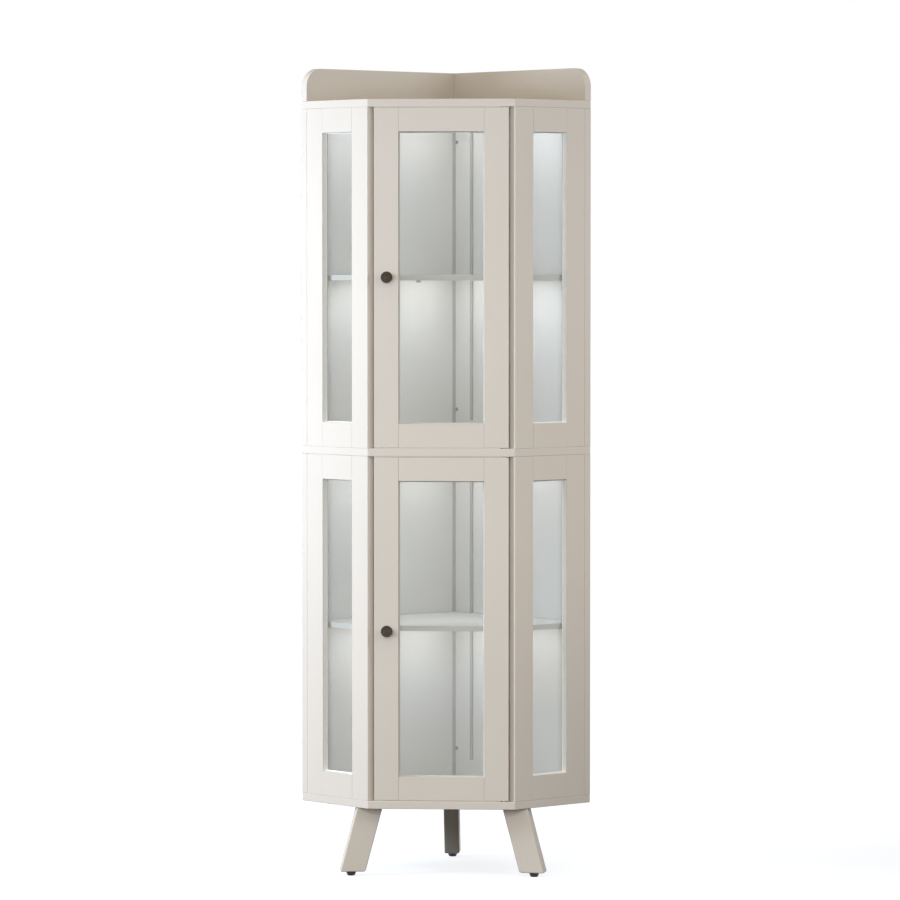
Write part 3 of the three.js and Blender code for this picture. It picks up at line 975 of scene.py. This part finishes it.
def make_small_fittings():
    for bay in bays:
        for end in ("bottom", "top"):
            pin = f"{bay}_{end}_pivot_pin"
            copy_turning(pin, f"{pin}_rod", steel, "carcass")
            bushing = f"{bay}_{end}_bushing"
            copy_turning(bushing, f"{bushing}_sleeve", nylon, f"{bay}_door")
        for name in sides:
            for place in ("rear", "front"):
                pin = f"{bay}_{name}_{place}_shelf_pin"
                copy_turning(pin, f"{pin}_rod", steel, "carcass")


# Catches and strike plates

def make_catches():
    for bay in bays:
        node = f"{bay}_magnetic_catch"
        low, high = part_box(node)
        front, back = low.y - front_line, high.y - front_line
        body = block(front_face, (low.x, high.x), (front + catch_setback, back), (low.z, high.z))
        rounded(body, catch_round)
        finish_piece(f"{node}_body", body, nylon, "carcass", [node])
        across = (low.x + catch_pole_inset, high.x - catch_pole_inset)
        depth = (front, front + catch_pole_depth)
        poles = []
        for share in catch_pole_shares:
            level = low.z + (high.z - low.z) * share
            pole = block(front_face, across, depth, (level, level + catch_pole_thickness))
            poles.append(thin_rounded(pole, catch_pole_round))
        finish_piece(f"{node}_poles", joined(poles), steel, "carcass")
        strike = f"{bay}_strike_plate"
        low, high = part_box(strike)
        depth = (low.y - front_line, high.y - front_line)
        plate = block(front_face, (low.x, high.x), depth, (low.z, high.z))
        rounded(plate, strike_plate_round)
        finish_piece(f"{strike}_plate", plate, steel, f"{bay}_door", [strike])


# Light bars and wire channels

def light_bar_places():
    for bay in bays:
        for level in ("ceiling", "shelf"):
            yield f"{bay}_{level}_light_bar"


def make_light_bars():
    """Each has its housing with the leads behind it, and a lens below."""
    for node in light_bar_places():
        low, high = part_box(node)
        front, back = low.y, low.y + bar_width
        across = (low.x, low.x + bar_length)
        middle = low.z + lens_height
        body = block(plan, across, (front, back), (middle, high.z))
        rounded(body, plastic_round)
        lead = cut_away(node_shape(node), Vector((0, back + lead_gap, 0)), Vector((0, -1, 0)))
        whole = joined([body, lead])
        finish_piece(f"{node}_housing", whole, nylon, "carcass", [node])
        lens_across = (across[0] + lens_inset, across[1] - lens_inset)
        lens_depth = (front + lens_inset, back - lens_inset)
        lens = block(plan, lens_across, lens_depth, (low.z, middle))
        rounded(lens, lens_round)
        finish_piece(f"{node}_lens", lens, diffuser, "carcass")


def make_wire_channels():
    for bay in bays:
        node = f"{bay}_wire_channel"
        shape = rounded(node_shape(node), plastic_round, least=channel_least_edge)
        finish_piece(f"{node}_cover", shape, channel_grey, "carcass", [node])


# Bead and screws in the rear corner; the grey bead is painted shade along the corner line

def make_corner_beads():
    """A hollow grey bead in the rear corner, painted shade along the corner line, broken where
    the shelf's corner passes it.
    """
    near = panel_thickness + corner_bead_clearance
    reach = near + corner_bead_reach
    middle = near + corner_bead_reach * corner_bead_hollow_share
    hollow = wall_point(1, middle, middle)
    right, left = wall_point(1, reach, near), wall_point(-1, reach, near)
    outline = [wall_point(1, near, near), right]
    for share in corner_bead_shares:
        chord = right.lerp(left, share)
        outline.append(chord.lerp(hollow, 0.5 - abs(share - 0.5)))
    outline.append(left)
    for bay in bays:
        low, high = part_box(f"{bay}_shelf")
        beads = []
        for start, end in ((bay_floor[bay], low.z), (high.z, bay_ceiling[bay])):
            start, end = start + corner_bead_clearance, end - corner_bead_clearance
            beads.append(upright_prism(outline, start, end))
        finish_piece(f"{bay}_corner_beads", joined(beads), corner_painted_shade, "carcass")


def make_corner_screws():
    face = wall_face(1)
    across = panel_thickness + corner_screw_from_corner
    size = (corner_screw_radius, corner_screw_height, corner_screw_recess)
    for bay in bays:
        heads = []
        for level in (bay_floor[bay] + corner_screw_lift, bay_ceiling[bay] - corner_screw_drop):
            head = recessed_head(*size, cross_arms)
            heads.append(placed(head, into(face, across, level, panel_thickness)))
        finish_piece(f"{bay}_corner_screws", joined(heads), screw_grey, "carcass")


# Stage, lamps and camera

def out_of_sight(thing):
    """Keeps a lamp or card from being seen, in gloss and glass too."""
    thing.visible_camera = False
    thing.visible_glossy = False
    thing.visible_transmission = False


def new_lamp(name, data, place, power, colour):
    data.energy = power
    data.color = colour
    light = bpy.data.objects.new(name, data)
    light.location = place
    out_of_sight(light)
    bpy.context.scene.collection.objects.link(light)
    return light


def wide_lamp(name, place, aim, width, height, power, colour):
    data = bpy.data.lights.new(name, "AREA")
    data.shape = "RECTANGLE"
    data.size = width
    data.size_y = height
    light = new_lamp(name, data, place, power, colour)
    light.rotation_euler = (Vector(aim) - Vector(place)).to_track_quat("-Z", "Y").to_euler()


def small_lamp(name, place, power, colour):
    data = bpy.data.lights.new(name, "POINT")
    data.shadow_soft_size = small_lamp_radius
    new_lamp(name, data, place, power, colour)


def seen_rays(nodes, links):
    """One where the background itself is seen, straight or by way of gloss or glass, before
    any rough bounce."""
    path = nodes.new("ShaderNodeLightPath")
    seen = path.outputs["Is Camera Ray"]
    for kind in ("Is Glossy Ray", "Is Transmission Ray"):
        most = nodes.new("ShaderNodeMath")
        most.operation = "MAXIMUM"
        links.new(seen, most.inputs[0])
        links.new(path.outputs[kind], most.inputs[1])
        seen = most.outputs["Value"]
    unscattered = nodes.new("ShaderNodeMath")
    unscattered.operation = "LESS_THAN"
    links.new(path.outputs["Diffuse Depth"], unscattered.inputs[0])
    unscattered.inputs[1].default_value = 0.5
    both = nodes.new("ShaderNodeMath")
    both.operation = "MULTIPLY"
    links.new(seen, both.inputs[0])
    links.new(unscattered.outputs["Value"], both.inputs[1])
    return both.outputs["Value"]


def make_world():
    """Seen as white, but the cabinet gets a softer, warmer light from it."""
    world = bpy.data.worlds.new("studio")
    bpy.context.scene.world = world
    world.use_nodes = True
    nodes = world.node_tree.nodes
    links = world.node_tree.links
    soft = nodes["Background"]
    soft.inputs["Color"].default_value = world_soft_colour
    soft.inputs["Strength"].default_value = world_soft_strength
    white = nodes.new("ShaderNodeBackground")
    white.inputs["Color"].default_value = world_seen_colour
    white.inputs["Strength"].default_value = world_seen_strength
    first, second = soft.outputs["Background"], white.outputs["Background"]
    mixed_shader(nodes, links, seen_rays(nodes, links), first, second, "World Output")


def make_floor():
    """Seen as white with a soft shadow, but dark to the light that it would throw back."""
    material, nodes, links, shader = new_finish("studio_floor")
    shader.inputs["Base Color"].default_value = floor_dark
    shader.inputs["Roughness"].default_value = 1
    pale = nodes.new("ShaderNodeBsdfDiffuse")
    pale.inputs["Color"].default_value = floor_pale
    glow = nodes.new("ShaderNodeEmission")
    glow.inputs["Strength"].default_value = floor_glow
    both = nodes.new("ShaderNodeAddShader")
    links.new(pale.outputs["BSDF"], both.inputs[0])
    links.new(glow.outputs["Emission"], both.inputs[1])
    first, second = shader.outputs["BSDF"], both.outputs["Shader"]
    mixed_shader(nodes, links, seen_rays(nodes, links), first, second, "Material Output")
    shape = bmesh.new()
    bmesh.ops.create_grid(shape, x_segments=1, y_segments=1, size=floor_reach)
    floor = new_object("studio_floor", shape, material)


def make_cards():
    for name, spans in cards.items():
        material, _, _, shader = new_finish(name)
        shader.inputs["Base Color"].default_value = card_dark
        shader.inputs["Roughness"].default_value = 0.9
        card = new_object(name, block(plan, *spans), material)
        out_of_sight(card)


def make_camera():
    data = bpy.data.cameras.new("camera")
    data.lens = camera_lens
    data.sensor_width = camera_sensor
    data.clip_end = camera_reach
    camera = bpy.data.objects.new("camera", data)
    back = Vector((
        math.sin(camera_turn) * math.cos(camera_tilt),
        -math.cos(camera_turn) * math.cos(camera_tilt),
        math.sin(camera_tilt),
    ))
    camera.location = camera_aim + back * camera_distance
    camera.rotation_euler = (math.pi / 2 - camera_tilt, 0, camera_turn)
    bpy.context.scene.collection.objects.link(camera)
    bpy.context.scene.camera = camera


def make_bar_lamps(node, middle, beside, soft):
    """Under a light bar: a small lamp, one on either side of it, and a wide soft one."""
    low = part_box(node)[0]
    back = low.y + bar_width / 2
    place = (0, back + middle_lamp_back, low.z - middle_lamp_drop)
    small_lamp(f"{node}_lamp", place, middle, middle_lamp_colour)
    for name, sign in sides.items():
        place = (sign * side_lamp_out, back - side_lamp_forward, low.z - side_lamp_drop)
        small_lamp(f"{node}_{name}_lamp", place, beside, side_lamp_colour)
    place = (0, soft_lamp_depth, low.z - soft_lamp_drop)
    below = (0, soft_lamp_depth, 0)
    wide_lamp(f"{node}_glow", place, below, *soft_lamp_size, soft, soft_lamp_colour)


def make_lamps():
    for name, settings in studio_lamps.items():
        wide_lamp(name, *settings)
    for node, powers in bar_lamps.items():
        make_bar_lamps(node, *powers)


make_camera()
for board in ("bottom_board", "middle_board", "top_board"):
    make_board(board)
make_gallery()
make_back_panels()
make_shelves()
make_frames()
dress_panes()
make_dust_strips()
make_knobs()
for leg in ("front_left", "front_right", "rear"):
    make_leg(leg)
    make_glide(leg)
    make_leg_bolt(leg)
make_small_fittings()
make_catches()
make_light_bars()
make_wire_channels()
make_corner_beads()
make_corner_screws()
make_world()
make_floor()
make_cards()
make_lamps()
bpy.context.scene.view_settings.view_transform = "Standard"
